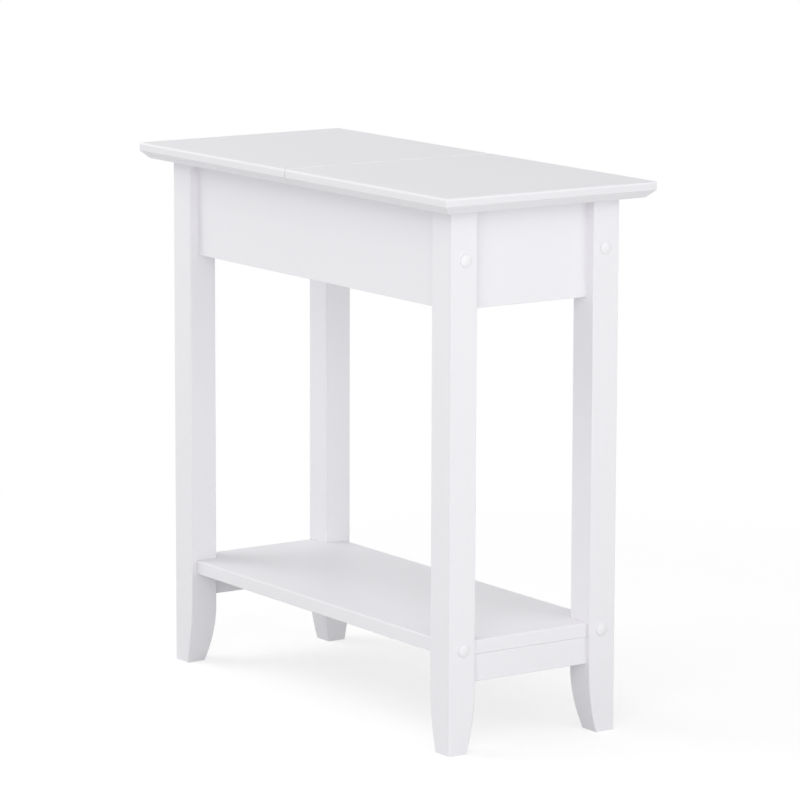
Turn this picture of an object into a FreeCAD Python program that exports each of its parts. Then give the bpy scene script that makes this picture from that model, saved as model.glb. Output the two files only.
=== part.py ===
import FreeCAD, Part

import os
import re

import Sketcher

# Lift-top end table, in millimetres: x runs along the length, y from front to rear, z up from the floor.
# The leaf of the top over negative x is fixed, and the leaf over positive x lifts on two hinges.

SIZES = {
    # Top
    "top_length": 618.0,
    "top_width": 278.0,
    "table_height": 610.0,
    "top_edge": 9.2,
    "under_bevel_height": 8.8,
    "under_bevel_inset": 9.2,
    "top_arris": 1.8,
    "seam_gap": 1.0,
    "seam_chamfer": 2.6,
    # Legs
    "top_end_overhang": 30.0,
    "top_side_overhang": 28.0,
    "leg_length": 36.0,
    "leg_depth": 34.0,
    "foot_taper_height": 70.0,
    "foot_taper_inset": 10.4,
    "leg_arris": 1.2,
    # Aprons
    "apron_height": 108.5,
    "apron_thick": 16.0,
    "side_apron_recess": 10.5,
    "end_apron_recess": 13.0,
    "board_arris": 0.8,
    # Lower shelf and its rails
    "shelf_height": 123.5,
    "shelf_thick": 16.0,
    "shelf_side_recess": 6.6,
    "shelf_end_recess": 5.4,
    "shelf_arris": 1.5,
    "notch_gap": 0.2,
    "rail_height": 30.0,
    "rail_thick": 16.0,
    "rail_recess": 6.4,
    # Storage compartment
    "floor_thick": 5.0,
    "floor_lift": 10.0,
    "groove_depth": 5.0,
    "groove_gap": 0.3,
    "divider_thick": 16.0,
    # Hinges in the seam
    "hinge_length": 40.0,
    "hinge_inset": 74.0,
    "hinge_axis_depth": 2.0,
    "leaf_thick": 1.2,
    "leaf_gap": 0.6,
    "leaf_drop": 12.0,
    "knuckle_radius": 2.0,
    "knuckle_clearance": 0.3,
    "lid_knuckle_length": 14.0,
    "knuckle_gap": 0.25,
    "pin_radius": 1.0,
    "pin_clearance": 0.04,
    "mortise_gap": 0.25,
    "hinge_screw_spacing": 24.0,
    "hinge_screw_drop": 7.2,
    "hinge_screw_length": 14.0,
    "hinge_screw_radius": 1.25,
    "hinge_screw_head_radius": 2.3,
    # Leg bolts, their barrel nuts and caps
    "bolt_radius": 3.0,
    "bolt_length": 65.0,
    "bolt_head_radius": 5.0,
    "bolt_head_height": 5.0,
    "bolt_socket_radius": 2.3,
    "bolt_socket_depth": 3.0,
    "counterbore_radius": 5.5,
    "counterbore_depth": 9.0,
    "barrel_nut_radius": 5.0,
    "barrel_nut_length": 10.0,
    "barrel_nut_offset": 30.0,
    "cap_radius": 7.0,
    "cap_rim": 1.8,
    "cap_dome": 1.2,
    "cap_stem_radius": 5.3,
    "cap_stem_length": 3.0,
    # Dowels
    "dowel_radius": 4.0,
    "dowel_length": 30.0,
    "side_apron_dowel_spacing": 64.0,
    "end_apron_dowel_spacing": 32.0,
    # Cleats under the fixed leaf, and wood screws
    "cleat_size": 15.0,
    "cleat_end_gap": 10.0,
    "cleat_top_screw_inset": 43.0,
    "cleat_apron_screw_inset": 23.0,
    "end_cleat_top_screw_inset": 37.0,
    "end_cleat_apron_screw_inset": 17.0,
    "screw_radius": 1.75,
    "screw_length": 25.0,
    "screw_head_radius": 3.3,
    "screw_head_height": 2.0,
    "rail_screw_inset": 32.0,
    "rail_screw_grip": 15.0,
    # Drilling
    "drill_gap": 0.1,
    "drill_end_gap": 0.5,
    "overrun": 2.0,
}

# Places and lengths that follow from the sizes
DERIVED = {
    "top_underside": "table_height - top_edge - under_bevel_height",
    "leaf_length": "(top_length - seam_gap) / 2",
    "leaf_middle": "(top_length + seam_gap) / 4",
    "leg_out_x": "top_length / 2 - top_end_overhang",
    "leg_out_y": "top_width / 2 - top_side_overhang",
    "leg_in_x": "leg_out_x - leg_length",
    "leg_in_y": "leg_out_y - leg_depth",
    "apron_bottom": "top_underside - apron_height",
    "side_apron_out": "leg_out_y - side_apron_recess",
    "side_apron_in": "side_apron_out - apron_thick",
    "side_apron_mid": "side_apron_out - apron_thick / 2",
    "end_apron_out": "leg_out_x - end_apron_recess",
    "end_apron_in": "end_apron_out - apron_thick",
    "end_apron_mid": "end_apron_out - apron_thick / 2",
    "shelf_under": "shelf_height - shelf_thick",
    "shelf_mid": "shelf_height - shelf_thick / 2",
    "shelf_out_x": "leg_out_x - shelf_end_recess",
    "shelf_out_y": "leg_out_y - shelf_side_recess",
    "rail_out": "leg_out_x - rail_recess",
    "rail_mid_x": "rail_out - rail_thick / 2",
    "rail_mid_z": "shelf_under - rail_height / 2",
    "floor_under": "apron_bottom + floor_lift",
    "floor_top": "floor_under + floor_thick",
    "floor_out_x": "end_apron_in + groove_depth - groove_gap",
    "floor_out_y": "side_apron_in + groove_depth - groove_gap",
    "divider_back": "seam_gap / 2 + divider_thick",
    "hinge_axis_z": "table_height - hinge_axis_depth",
    "hinge_y": "top_width / 2 - hinge_inset",
    "leaf_top": "hinge_axis_z - knuckle_radius - knuckle_clearance",
    "leaf_bottom": "hinge_axis_z - leaf_drop",
    "leaf_back": "leaf_gap / 2 + leaf_thick",
    "pocket_radius": "knuckle_radius + knuckle_clearance",
    "hinge_screw_z": "hinge_axis_z - hinge_screw_drop",
    "outer_knuckle_start": "lid_knuckle_length / 2 + knuckle_gap",
    "outer_knuckle_length": "hinge_length / 2 - outer_knuckle_start",
    "upper_bolt_z": "top_underside - apron_height / 2",
    "bolt_seat": "leg_out_x - counterbore_depth",
    "bolt_reach": "bolt_length - leg_length + counterbore_depth + drill_end_gap",
    "bolt_hole": "bolt_radius + drill_gap",
    "nut_hole": "barrel_nut_radius + drill_gap",
    "nut_x": "leg_in_x - barrel_nut_offset",
    "dowel_hole": "dowel_radius + drill_gap",
    "dowel_reach": "dowel_length / 2 + drill_end_gap",
    "cleat_far": "leg_in_x - cleat_end_gap",
    "cleat_near": "divider_back + cleat_end_gap",
    "cleat_middle": "(cleat_far + cleat_near) / 2",
    "end_cleat_reach": "leg_in_y - cleat_end_gap",
    "cleat_top_step": "(cleat_far - cleat_near) / 2 - cleat_top_screw_inset",
    "cleat_apron_step": "(cleat_far - cleat_near) / 2 - cleat_apron_screw_inset",
    "end_cleat_top_y": "end_cleat_reach - end_cleat_top_screw_inset",
    "end_cleat_apron_y": "end_cleat_reach - end_cleat_apron_screw_inset",
    "cleat_under": "top_underside - cleat_size",
    "cleat_mid_z": "top_underside - cleat_size / 2",
    "screw_hole": "screw_radius + drill_gap",
    "screw_bite": "screw_length - cleat_size + drill_end_gap",
    "rail_screw_bite": "screw_length - rail_screw_grip + drill_end_gap",
    "rail_screw_seat": "shelf_under - rail_screw_grip",
    "rail_screw_y": "leg_in_y - rail_screw_inset",
}

# Turns that carry an upright piece's axis to each direction
TURNS = {
    "+x": FreeCAD.Rotation(FreeCAD.Vector(0, 1, 0), 90),
    "-x": FreeCAD.Rotation(FreeCAD.Vector(0, 1, 0), -90),
    "+y": FreeCAD.Rotation(FreeCAD.Vector(1, 0, 0), -90),
    "-y": FreeCAD.Rotation(FreeCAD.Vector(1, 0, 0), 90),
    "+z": FreeCAD.Rotation(),
}
SIDES = (-1, 1)
CORNERS = [(end, side) for end in SIDES for side in SIDES]
LEG_NAMES = {
    (-1, -1): "leg_front_left",
    (-1, 1): "leg_rear_left",
    (1, -1): "leg_front_right",
    (1, 1): "leg_rear_right",
}

doc = FreeCAD.newDocument("lift_top_end_table")
sheet = doc.addObject("Spreadsheet::Sheet", "sizes")
for row, (alias, amount) in enumerate(SIZES.items(), start=1):
    sheet.set(f"A{row}", alias)
    sheet.set(f"B{row}", str(amount))
    sheet.setAlias(f"B{row}", alias)
gauge = doc.addObject("App::FeaturePython", "gauge")
gauge.addProperty("App::PropertyFloat", "reading")
doc.recompute()
nodes = []


def formula(text):
    """Write a formula in named sizes as an expression on the sheet."""

    def expand(match):
        word = match.group()
        return f"({formula(DERIVED[word])})" if word in DERIVED else f"sizes.{word}"

    return re.sub("[a-z_]+", expand, text)


def number(text):
    """Work out a formula in named sizes as a plain number."""
    gauge.setExpression("reading", formula(text))
    gauge.recompute()
    return gauge.reading


def side_of(sign, text):
    """Mirror a formula to the side that the sign names."""
    return f"{sign} * ({text})"


def heading(sign, letter):
    """Name the direction along an axis that the sign gives."""
    return f"{'+' if sign > 0 else '-'}{letter}"


def bind(item, **sizes):
    """Tie properties of an object to formulas in named sizes."""
    for prop, text in sizes.items():
        item.setExpression(prop, formula(text))
    return item


def place(item, x, y, z, direction="+z"):
    """Turn an object towards a direction and tie its place to formulas."""
    item.Placement = FreeCAD.Placement(FreeCAD.Vector(), TURNS[direction])
    for letter, text in zip("xyz", (x, y, z)):
        item.setExpression(f"Placement.Base.{letter}", formula(text))
    return item


def keep(item, name):
    """Name an object as a piece of the table and list it for export."""
    item.Label = name
    nodes.append(item)
    return item


def block(name, x, y, z):
    """Make a box from pairs of formulas for its two faces along each axis."""
    box = doc.addObject("Part::Box", name)
    spans = [f"({high}) - ({low})" for low, high in (x, y, z)]
    bind(box, Length=spans[0], Width=spans[1], Height=spans[2])
    return place(box, x[0], y[0], z[0])


def rod(name, radius, length, direction, x, y, z):
    """Make a cylinder that starts at a point and runs in a direction."""
    cylinder = doc.addObject("Part::Cylinder", name)
    bind(cylinder, Radius=radius, Height=length)
    return place(cylinder, x, y, z, direction)


def bore(radius, depth, direction, x, y, z):
    """Make the tool for a hole that enters at a point of a face and runs in a direction."""
    mouth = {"x": x, "y": y, "z": z}
    letter = direction[1]
    mouth[letter] = f"{mouth[letter]} - {direction[0]}1 * overrun"
    return rod("bore", radius, f"{depth} + overrun", direction, mouth["x"], mouth["y"], mouth["z"])


def fuse(name, items):
    """Join solids into one."""
    joined = doc.addObject("Part::MultiFuse", name)
    joined.Shapes = items
    joined.Refine = True
    return joined


def cut(base, tools):
    """Cut a list of tools from a solid."""
    result = doc.addObject("Part::Cut", f"{base.Name}_cut")
    result.Base = base
    result.Tool = tools[0] if len(tools) == 1 else fuse(f"{base.Name}_tools", tools)
    return result


def copies(name, source, places):
    """Set copies of a piece at places and keep them as one group of solids."""
    links = []
    for direction, x, y, z in places:
        link = doc.addObject("App::Link", f"{name}_copy")
        link.LinkedObject = source
        link.LinkTransform = False
        links.append(place(link, x, y, z, direction))
    group = doc.addObject("Part::Compound", name)
    group.Links = links
    return keep(group, name)


def arc_between(start, end, centre_lies):
    """Draw the arc from one point to another whose centre is level with the first, or plumb to it."""
    step = end - start
    if centre_lies == "Horizontal":
        centre = start + FreeCAD.Vector(step.Length**2 / (2 * step.x), 0, 0)
    else:
        centre = start + FreeCAD.Vector(0, step.Length**2 / (2 * step.y), 0)
    spoke = (start + end) / 2 - centre
    crown = centre + spoke.normalize() * (start - centre).Length
    return Part.Arc(start, crown, end)


def outline(body, plane, points):
    """Draw a closed outline in one of a body's origin planes.

    A point is a pair of formulas. A third entry makes the side that leaves the point an arc, and
    says whether the arc's centre is level with the point, Horizontal, or plumb to it, Vertical.
    """
    sketch = body.newObject("Sketcher::SketchObject", f"{body.Name}_outline")
    planes = {feature.Role: feature for feature in body.Origin.OriginFeatures}
    sketch.AttachmentSupport = [(planes[plane], "")]
    sketch.MapMode = "FlatFace"
    corners = [FreeCAD.Vector(number(point[0]), number(point[1]), 0) for point in points]
    ends = []
    for index, point in enumerate(points):
        start = corners[index]
        end = corners[(index + 1) % len(corners)]
        if len(point) == 3:
            side = sketch.addGeometry(arc_between(start, end, point[2]))
        else:
            side = sketch.addGeometry(Part.LineSegment(start, end))
        to_first, to_second = [sketch.getPoint(side, tip).distanceToPoint(start) for tip in (1, 2)]
        ends.append((side, 1, 2) if to_first < to_second else (side, 2, 1))
    for index, point in enumerate(points):
        side, first, last = ends[index]
        following, follows, _ = ends[(index + 1) % len(ends)]
        sketch.addConstraint(Sketcher.Constraint("Coincident", side, last, following, follows))
        if len(point) == 3:
            sketch.addConstraint(Sketcher.Constraint(point[2], side, 3, side, first))
        for kind, text in zip(("DistanceX", "DistanceY"), point):
            tie = sketch.addConstraint(Sketcher.Constraint(kind, -1, 1, side, first, number(text)))
            sketch.setExpression(f"Constraints[{tie}]", formula(text))
    return sketch


def pad(body, plane, points, length):
    """Pad an outline to both sides of its plane."""
    feature = body.newObject("PartDesign::Pad", f"{body.Name}_pad")
    feature.Profile = outline(body, plane, points)
    feature.SideType = "Symmetric"
    return bind(feature, Length=length)


def pocket(body, plane, points):
    """Cut an outline through the whole of a body."""
    feature = body.newObject("PartDesign::Pocket", f"{body.Name}_pocket")
    feature.Profile = outline(body, plane, points)
    feature.Type = "ThroughAll"
    feature.SideType = "Symmetric"
    return feature


def round_over(body, radius, wanted):
    """Round the edges of a body that a test picks."""
    doc.recompute()
    base = body.Tip
    names = [f"Edge{count}" for count, edge in enumerate(base.Shape.Edges, start=1) if wanted(edge)]
    feature = body.newObject("PartDesign::Fillet", f"{body.Name}_rounding")
    feature.Base = (base, names)
    bind(feature, Radius=radius)
    doc.recompute()
    return feature


def turned(name, points):
    """Revolve an outline of radius and height about the upright axis."""
    body = doc.addObject("PartDesign::Body", name)
    feature = body.newObject("PartDesign::Revolution", f"{name}_turning")
    feature.Profile = outline(body, "XZ_Plane", points)
    feature.ReferenceAxis = (feature.Profile[0], ["V_Axis"])
    feature.Angle = 360
    return body


def rises(edge):
    """Tell whether an edge runs up the piece and not level."""
    return edge.BoundBox.ZLength > edge.BoundBox.XLength + edge.BoundBox.YLength


def board(name, x, y, z, upper_eased=False):
    """Make a board from pairs of formulas for its faces, with its long lower edges, or all long ones, eased."""
    body = doc.addObject("PartDesign::Body", name)
    box = body.newObject("PartDesign::AdditiveBox", f"{name}_stock")
    spans = [f"({high}) - ({low})" for low, high in (x, y, z)]
    bind(box, Length=spans[0], Width=spans[1], Height=spans[2])
    doc.recompute()
    longest = max(box.Shape.BoundBox.XLength, box.Shape.BoundBox.YLength)

    def shows(edge):
        lower = edge.BoundBox.ZMax < box.Shape.BoundBox.Center.z
        return (lower or upper_eased) and edge.Length > longest / 2

    round_over(body, "board_arris", shows)
    return place(body, x[0], y[0], z[0])


def leg_holes(end, side):
    """List the tools for the bolt and dowel holes of one leg."""
    inward_x = heading(-end, "x")
    outward_x = heading(end, "x")
    outward_y = heading(side, "y")
    out_x = side_of(end, "leg_out_x")
    in_x = side_of(end, "leg_in_x")
    in_y = side_of(side, "leg_in_y")
    bolt_y = side_of(side, "side_apron_mid")
    tools = []
    for bolt_z in ("upper_bolt_z", "shelf_mid"):
        tools.append(bore("counterbore_radius", "counterbore_depth", inward_x, out_x, bolt_y, bolt_z))
        tools.append(bore("bolt_hole", "leg_length + overrun", inward_x, out_x, bolt_y, bolt_z))
    for step in SIDES:
        dowel_z = f"upper_bolt_z + {step} * side_apron_dowel_spacing / 2"
        tools.append(bore("dowel_hole", "dowel_reach", outward_x, in_x, bolt_y, dowel_z))
        dowel_z = f"upper_bolt_z + {step} * end_apron_dowel_spacing / 2"
        end_x = side_of(end, "end_apron_mid")
        tools.append(bore("dowel_hole", "dowel_reach", outward_y, end_x, in_y, dowel_z))
    rail_x = side_of(end, "rail_mid_x")
    tools.append(bore("dowel_hole", "dowel_reach", outward_y, rail_x, in_y, "rail_mid_z"))
    return tools


def make_leg(end, side):
    """Make a leg: a straight post whose two inner faces curve in towards the foot."""
    body = doc.addObject("PartDesign::Body", f"{LEG_NAMES[end, side]}_post")
    middle_x = side_of(end, "leg_out_x - leg_length / 2")
    middle_y = side_of(side, "leg_out_y - leg_depth / 2")
    out_x = side_of(end, "leg_length / 2")
    in_x = side_of(-end, "leg_length / 2")
    foot_x = side_of(-end, "leg_length / 2 - foot_taper_inset")
    in_y = side_of(-side, "leg_depth / 2")
    foot_y = side_of(-side, "leg_depth / 2 - foot_taper_inset")
    beyond_y = side_of(-side, "leg_depth / 2 + overrun")
    pad(
        body,
        "XZ_Plane",
        [
            (out_x, "0"),
            (out_x, "top_underside"),
            (in_x, "top_underside"),
            (in_x, "foot_taper_height", "Horizontal"),
            (foot_x, "0"),
        ],
        "leg_depth",
    )
    pocket(
        body,
        "YZ_Plane",
        [
            (in_y, "foot_taper_height", "Horizontal"),
            (foot_y, "0"),
            (foot_y, "-overrun"),
            (beyond_y, "-overrun"),
            (beyond_y, "foot_taper_height"),
        ],
    )
    round_over(body, "leg_arris", rises)
    place(body, middle_x, middle_y, "0")
    keep(cut(body, leg_holes(end, side)), LEG_NAMES[end, side])


def make_side_apron(name, side):
    """Make the front or rear apron, with its floor groove, bolt holes, nut holes and dowel holes."""
    out_y = side_of(side, "side_apron_out")
    in_y = side_of(side, "side_apron_in")
    mid_y = side_of(side, "side_apron_mid")
    faces_y = (in_y, out_y) if side > 0 else (out_y, in_y)
    stock = board(f"{name}_board", ("-leg_in_x", "leg_in_x"), faces_y, ("apron_bottom", "top_underside"))
    groove_end = side_of(side, "side_apron_in + groove_depth")
    groove_mouth = side_of(side, "side_apron_in - overrun")
    groove_y = (groove_mouth, groove_end) if side > 0 else (groove_end, groove_mouth)
    tools = [
        block(
            f"{name}_groove",
            ("-leg_in_x - overrun", "leg_in_x + overrun"),
            groove_y,
            ("floor_under", "floor_top + groove_gap"),
        )
    ]
    outward_y = heading(side, "y")
    nut_depth = "side_apron_mid - side_apron_in + barrel_nut_length / 2 + drill_end_gap"
    for end in SIDES:
        inward_x = heading(-end, "x")
        face_x = side_of(end, "leg_in_x")
        tools.append(bore("bolt_hole", "bolt_reach", inward_x, face_x, mid_y, "upper_bolt_z"))
        tools.append(bore("nut_hole", nut_depth, outward_y, side_of(end, "nut_x"), in_y, "upper_bolt_z"))
        for step in SIDES:
            dowel_z = f"upper_bolt_z + {step} * side_apron_dowel_spacing / 2"
            tools.append(bore("dowel_hole", "dowel_reach", inward_x, face_x, mid_y, dowel_z))
    for step in SIDES:
        screw_x = f"-cleat_middle + {step} * cleat_apron_step"
        tools.append(bore("screw_hole", "screw_bite", outward_y, screw_x, in_y, "cleat_mid_z"))
    keep(cut(stock, tools), name)


def make_end_apron(name, end):
    """Make an end apron, with its floor groove and dowel holes."""
    out_x = side_of(end, "end_apron_out")
    in_x = side_of(end, "end_apron_in")
    faces_x = (in_x, out_x) if end > 0 else (out_x, in_x)
    stock = board(f"{name}_board", faces_x, ("-leg_in_y", "leg_in_y"), ("apron_bottom", "top_underside"))
    groove_end = side_of(end, "end_apron_in + groove_depth")
    groove_mouth = side_of(end, "end_apron_in - overrun")
    groove_x = (groove_mouth, groove_end) if end > 0 else (groove_end, groove_mouth)
    tools = [
        block(
            f"{name}_groove",
            groove_x,
            ("-leg_in_y - overrun", "leg_in_y + overrun"),
            ("floor_under", "floor_top + groove_gap"),
        )
    ]
    for side in SIDES:
        face_y = side_of(side, "leg_in_y")
        for step in SIDES:
            dowel_z = f"upper_bolt_z + {step} * end_apron_dowel_spacing / 2"
            mid_x = side_of(end, "end_apron_mid")
            tools.append(bore("dowel_hole", "dowel_reach", heading(-side, "y"), mid_x, face_y, dowel_z))
        if end < 0:
            screw_y = f"{side} * end_cleat_apron_y"
            tools.append(bore("screw_hole", "screw_bite", "-x", in_x, screw_y, "cleat_mid_z"))
    keep(cut(stock, tools), name)


def make_shelf():
    """Make the lower shelf, notched round the legs, with its bolt, nut and screw holes."""
    body = doc.addObject("PartDesign::Body", "lower_shelf_board")
    notch_x = "leg_in_x - notch_gap"
    notch_y = "leg_in_y - notch_gap"
    points = []
    for end, side in ((1, -1), (1, 1), (-1, 1), (-1, -1)):
        turn = [
            (side_of(end, notch_x), side_of(side, "shelf_out_y")),
            (side_of(end, notch_x), side_of(side, notch_y)),
            (side_of(end, "shelf_out_x"), side_of(side, notch_y)),
        ]
        points += turn if end * side < 0 else turn[::-1]
    pad(body, "XY_Plane", points, "shelf_thick")
    limit_x = number(notch_x)
    limit_y = number(notch_y)

    def outer_rim(edge):
        box = edge.BoundBox
        level = box.ZLength < box.DiagonalLength / 2
        long_side = abs(box.Center.x) < limit_x / 2 and abs(box.Center.y) > limit_y
        short_side = abs(box.Center.y) < limit_y / 2 and abs(box.Center.x) > limit_x
        return level and (long_side or short_side)

    round_over(body, "shelf_arris", outer_rim)
    place(body, "0", "0", "shelf_mid")
    tools = []
    nut_depth = "shelf_thick / 2 + barrel_nut_length / 2 + drill_end_gap"
    for end, side in CORNERS:
        face_x = side_of(end, notch_x)
        bolt_y = side_of(side, "side_apron_mid")
        tools.append(bore("bolt_hole", "bolt_reach", heading(-end, "x"), face_x, bolt_y, "shelf_mid"))
        tools.append(bore("nut_hole", nut_depth, "+z", side_of(end, "nut_x"), bolt_y, "shelf_under"))
        screw_y = f"{side} * rail_screw_y"
        rail_x = side_of(end, "rail_mid_x")
        tools.append(bore("screw_hole", "rail_screw_bite", "+z", rail_x, screw_y, "shelf_under"))
    keep(cut(body, tools), "lower_shelf")


def make_rail(name, end):
    """Make a rail that carries one end of the shelf between two legs."""
    out_x = side_of(end, "rail_out")
    in_x = side_of(end, "rail_out - rail_thick")
    faces_x = (in_x, out_x) if end > 0 else (out_x, in_x)
    faces_z = ("shelf_under - rail_height", "shelf_under")
    stock = board(f"{name}_board", faces_x, ("-leg_in_y", "leg_in_y"), faces_z, upper_eased=True)
    mid_x = side_of(end, "rail_mid_x")
    tools = []
    for side in SIDES:
        face_y = side_of(side, "leg_in_y")
        tools.append(bore("dowel_hole", "dowel_reach", heading(-side, "y"), mid_x, face_y, "rail_mid_z"))
        screw_y = f"{side} * rail_screw_y"
        tools.append(bore("screw_hole", "rail_height + overrun", "+z", mid_x, screw_y, faces_z[0]))
        head_room = "rail_height - rail_screw_grip"
        tools.append(bore("screw_head_radius + drill_gap", head_room, "+z", mid_x, screw_y, faces_z[0]))
    keep(cut(stock, tools), name)


def make_compartment():
    """Make the floor panel, cut round the legs, and the divider under the seam."""
    panel = block(
        "compartment_floor_panel",
        ("-floor_out_x", "floor_out_x"),
        ("-floor_out_y", "floor_out_y"),
        ("floor_under", "floor_top"),
    )
    notches = []
    for end, side in CORNERS:
        near_x = side_of(end, "leg_in_x - groove_gap")
        far_x = side_of(end, "floor_out_x + overrun")
        near_y = side_of(side, "leg_in_y - groove_gap")
        far_y = side_of(side, "floor_out_y + overrun")
        faces_x = (near_x, far_x) if end > 0 else (far_x, near_x)
        faces_y = (near_y, far_y) if side > 0 else (far_y, near_y)
        heights = ("floor_under - overrun", "floor_top + overrun")
        notches.append(block("floor_notch", faces_x, faces_y, heights))
    keep(cut(panel, notches), "compartment_floor")
    divider = block(
        "compartment_divider",
        ("-divider_back", "-seam_gap / 2"),
        ("-side_apron_in", "side_apron_in"),
        ("floor_top", "top_underside"),
    )
    keep(divider, "compartment_divider")


def make_cleats():
    """Make the cleats that hold the fixed leaf to the front, rear and left-hand aprons."""
    heights = ("cleat_under", "top_underside")
    for name, side in (("front_cleat", -1), ("rear_cleat", 1)):
        outer_y = side_of(side, "side_apron_in")
        inner_y = side_of(side, "side_apron_in - cleat_size")
        faces_y = (inner_y, outer_y) if side > 0 else (outer_y, inner_y)
        bar = block(f"{name}_bar", ("-cleat_far", "-cleat_near"), faces_y, heights)
        tools = []
        for step in SIDES:
            top_x = f"-cleat_middle + {step} * cleat_top_step"
            top_y = side_of(side, "side_apron_in - cleat_size / 2")
            tools.append(bore("screw_hole", "cleat_size + overrun", "+z", top_x, top_y, "cleat_under"))
            apron_x = f"-cleat_middle + {step} * cleat_apron_step"
            outward = heading(side, "y")
            tools.append(bore("screw_hole", "cleat_size + overrun", outward, apron_x, inner_y, "cleat_mid_z"))
        keep(cut(bar, tools), name)
    inner_x = "-end_apron_in + cleat_size"
    faces_y = ("-end_cleat_reach", "end_cleat_reach")
    bar = block("end_cleat_bar", ("-end_apron_in", inner_x), faces_y, heights)
    tools = []
    for step in SIDES:
        top_x = "-end_apron_in + cleat_size / 2"
        top_y = f"{step} * end_cleat_top_y"
        tools.append(bore("screw_hole", "cleat_size + overrun", "+z", top_x, top_y, "cleat_under"))
        apron_y = f"{step} * end_cleat_apron_y"
        tools.append(bore("screw_hole", "cleat_size + overrun", "-x", inner_x, apron_y, "cleat_mid_z"))
    keep(cut(bar, tools), "end_cleat")


def cleat_screw_places():
    """List where the screws of the cleats enter, upwards into the top and sideways into the aprons."""
    upward = []
    sideways = []
    for step in SIDES:
        for side in SIDES:
            top_x = f"-cleat_middle + {step} * cleat_top_step"
            upward.append(("+z", top_x, side_of(side, "side_apron_in - cleat_size / 2"), "cleat_under"))
            apron_x = f"-cleat_middle + {step} * cleat_apron_step"
            apron_y = side_of(side, "side_apron_in - cleat_size")
            sideways.append((heading(side, "y"), apron_x, apron_y, "cleat_mid_z"))
        top_y = f"{step} * end_cleat_top_y"
        upward.append(("+z", "-end_apron_in + cleat_size / 2", top_y, "cleat_under"))
        apron_y = f"{step} * end_cleat_apron_y"
        sideways.append(("-x", "-end_apron_in + cleat_size", apron_y, "cleat_mid_z"))
    return upward, sideways


def hinge_mortises(end):
    """List the tools that let the hinges into the meeting edge of one leaf of the top."""
    tools = []
    back = side_of(end, "leaf_back")
    front = side_of(-end, "overrun")
    faces_x = (front, back) if end > 0 else (back, front)
    half = "(hinge_length / 2 + mortise_gap)"
    for side in SIDES:
        middle = f"{side} * hinge_y"
        faces_y = (f"{middle} - {half}", f"{middle} + {half}")
        tools.append(block("leaf_mortise", faces_x, faces_y, ("leaf_bottom - mortise_gap", "hinge_axis_z")))
        length = f"2 * {half}"
        tools.append(rod("barrel_pocket", "pocket_radius", length, "+y", "0", faces_y[0], "hinge_axis_z"))
        for step in SIDES:
            screw_y = f"{middle} + {step} * hinge_screw_spacing / 2"
            depth = "hinge_screw_length - leaf_thick + drill_end_gap"
            pilot = "hinge_screw_radius + drill_gap"
            tools.append(bore(pilot, depth, heading(end, "x"), back, screw_y, "hinge_screw_z"))
    return tools


def make_top_leaf(name, end):
    """Make one leaf of the top: bevelled under its outer edges, chamfered at the seam, eased on top."""
    body = doc.addObject("PartDesign::Body", f"{name}_board")
    bevel_top = "top_underside + under_bevel_height"
    pad(
        body,
        "YZ_Plane",
        [
            ("-top_width / 2 + under_bevel_inset", "top_underside"),
            ("top_width / 2 - under_bevel_inset", "top_underside"),
            ("top_width / 2", bevel_top),
            ("top_width / 2", "table_height"),
            ("-top_width / 2", "table_height"),
            ("-top_width / 2", bevel_top),
        ],
        "leaf_length",
    )
    outer = side_of(end, "leaf_length / 2")
    bevel_start = side_of(end, "leaf_length / 2 - under_bevel_inset")
    beyond = side_of(end, "leaf_length / 2 + overrun")
    pocket(
        body,
        "XZ_Plane",
        [
            (bevel_start, "top_underside"),
            (outer, bevel_top),
            (beyond, bevel_top),
            (beyond, "top_underside - overrun"),
            (bevel_start, "top_underside - overrun"),
        ],
    )
    meeting = side_of(-end, "leaf_length / 2")
    chamfer_end = side_of(-end, "leaf_length / 2 - seam_chamfer")
    across = side_of(-end, "leaf_length / 2 + overrun")
    pocket(
        body,
        "XZ_Plane",
        [
            (meeting, "hinge_axis_z"),
            (chamfer_end, "table_height"),
            (chamfer_end, "table_height + overrun"),
            (across, "table_height + overrun"),
            (across, "hinge_axis_z"),
        ],
    )
    surface = number("table_height")
    half_length = number("leaf_length") / 2
    half_width = number("top_width") / 2
    slack = number("top_arris") / 2

    def outer_arris(edge):
        box = edge.BoundBox
        on_top = box.ZMin > surface - slack
        at_end = abs(box.Center.x - end * half_length) < slack
        at_side = abs(abs(box.Center.y) - half_width) < slack
        return (on_top and (at_end or at_side)) or (at_end and at_side)

    round_over(body, "top_arris", outer_arris)
    place(body, side_of(end, "leaf_middle"), "0", "0")
    tools = hinge_mortises(end)
    if end < 0:
        for _, x, y, _ in cleat_screw_places()[0]:
            tools.append(bore("screw_hole", "screw_bite", "+z", x, y, "top_underside"))
    keep(cut(body, tools), name)


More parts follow.
